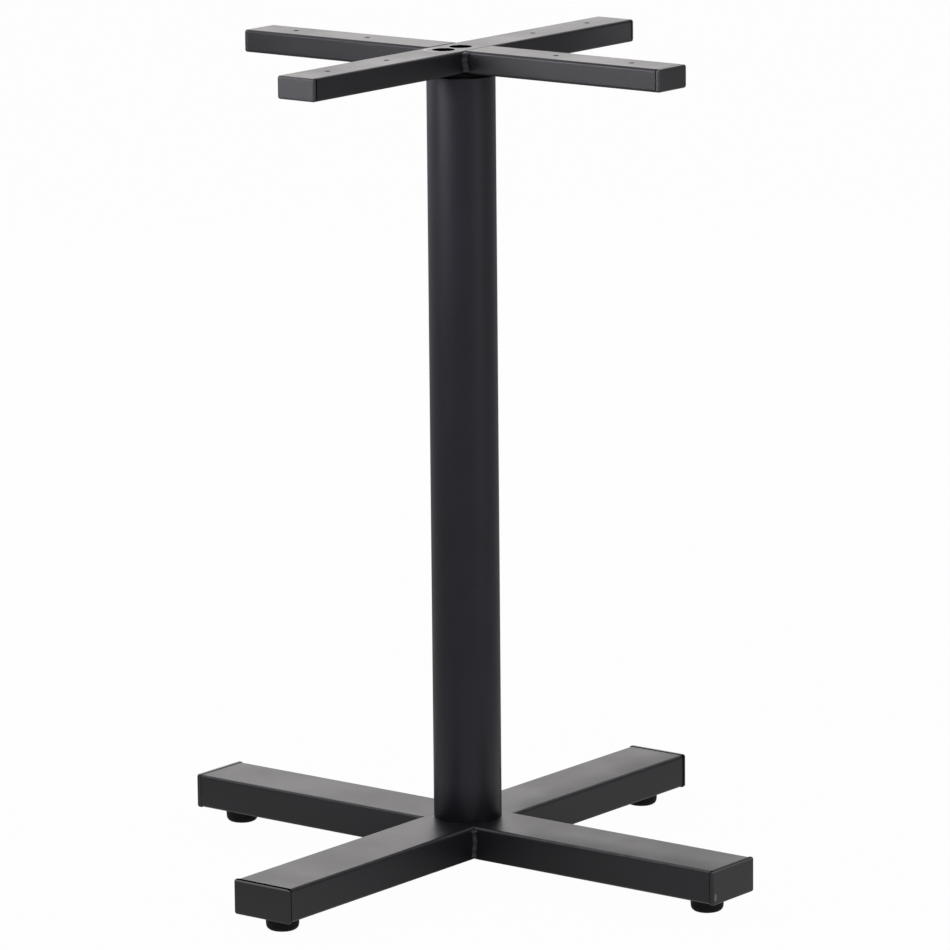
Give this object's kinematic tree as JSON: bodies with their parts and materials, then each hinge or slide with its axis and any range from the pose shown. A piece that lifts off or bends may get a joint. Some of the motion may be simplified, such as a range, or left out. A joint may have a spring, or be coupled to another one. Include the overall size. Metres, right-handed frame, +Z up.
{
  "type": "pedestal table leg",
  "caption": "Black steel pedestal table leg: a cross of flat tube on screw feet carries a round column and a smaller drilled cross that is screwed to a tabletop.",
  "frame": {"origin": "on the floor at the middle of the four feet, below the column's axis", "axes": "+Z up along the column, +X along the long tubes of both crosses, +Y along the rear short tubes"},
  "size_m": [0.576, 0.576, 0.73],
  "materials": {
    "powder_coated_steel": "satin black powder coat",
    "cap_plastic": "smooth black moulded plastic",
    "foot_plastic": "black moulded plastic",
    "zinc_steel": "bright zinc plated"
  },
  "bodies": {
    "frame": {"base_long_tube": "powder_coated_steel", "base_front_tube": "powder_coated_steel", "base_rear_tube": "powder_coated_steel", "column_tube": "powder_coated_steel", "top_long_tube": "powder_coated_steel", "top_front_tube": "powder_coated_steel", "top_rear_tube": "powder_coated_steel", "base_corner_welds": "powder_coated_steel", "base_seam_welds": "powder_coated_steel", "top_corner_welds": "powder_coated_steel", "base_cap_right": "cap_plastic", "base_cap_rear": "cap_plastic", "base_cap_left": "cap_plastic", "base_cap_front": "cap_plastic", "top_cap_right": "cap_plastic", "top_cap_rear": "cap_plastic", "top_cap_left": "cap_plastic", "top_cap_front": "cap_plastic", "base_bolts": "zinc_steel", "base_washers": "zinc_steel", "top_bolts": "zinc_steel", "top_washers": "zinc_steel", "foot_nuts": "zinc_steel", "column_bottom_plate": "powder_coated_steel", "column_top_plate": "powder_coated_steel", "top_spacer": "foot_plastic"},
    "foot_right": {"foot_pad_right": "foot_plastic", "foot_stud_right": "zinc_steel"},
    "foot_rear": {"foot_pad_rear": "foot_plastic", "foot_stud_rear": "zinc_steel"},
    "foot_left": {"foot_pad_left": "foot_plastic", "foot_stud_left": "zinc_steel"},
    "foot_front": {"foot_pad_front": "foot_plastic", "foot_stud_front": "zinc_steel"}
  },
  "joints": [
    {"name": "foot_right_screw", "type": "slide", "parent": "frame", "child": "foot_right", "axis": [0, 0, -1], "range_m": [0, 0.01]},
    {"name": "foot_rear_screw", "type": "slide", "parent": "frame", "child": "foot_rear", "axis": [0, 0, -1], "range_m": [0, 0.01]},
    {"name": "foot_left_screw", "type": "slide", "parent": "frame", "child": "foot_left", "axis": [0, 0, -1], "range_m": [0, 0.01]},
    {"name": "foot_front_screw", "type": "slide", "parent": "frame", "child": "foot_front", "axis": [0, 0, -1], "range_m": [0, 0.01]}
  ]
}
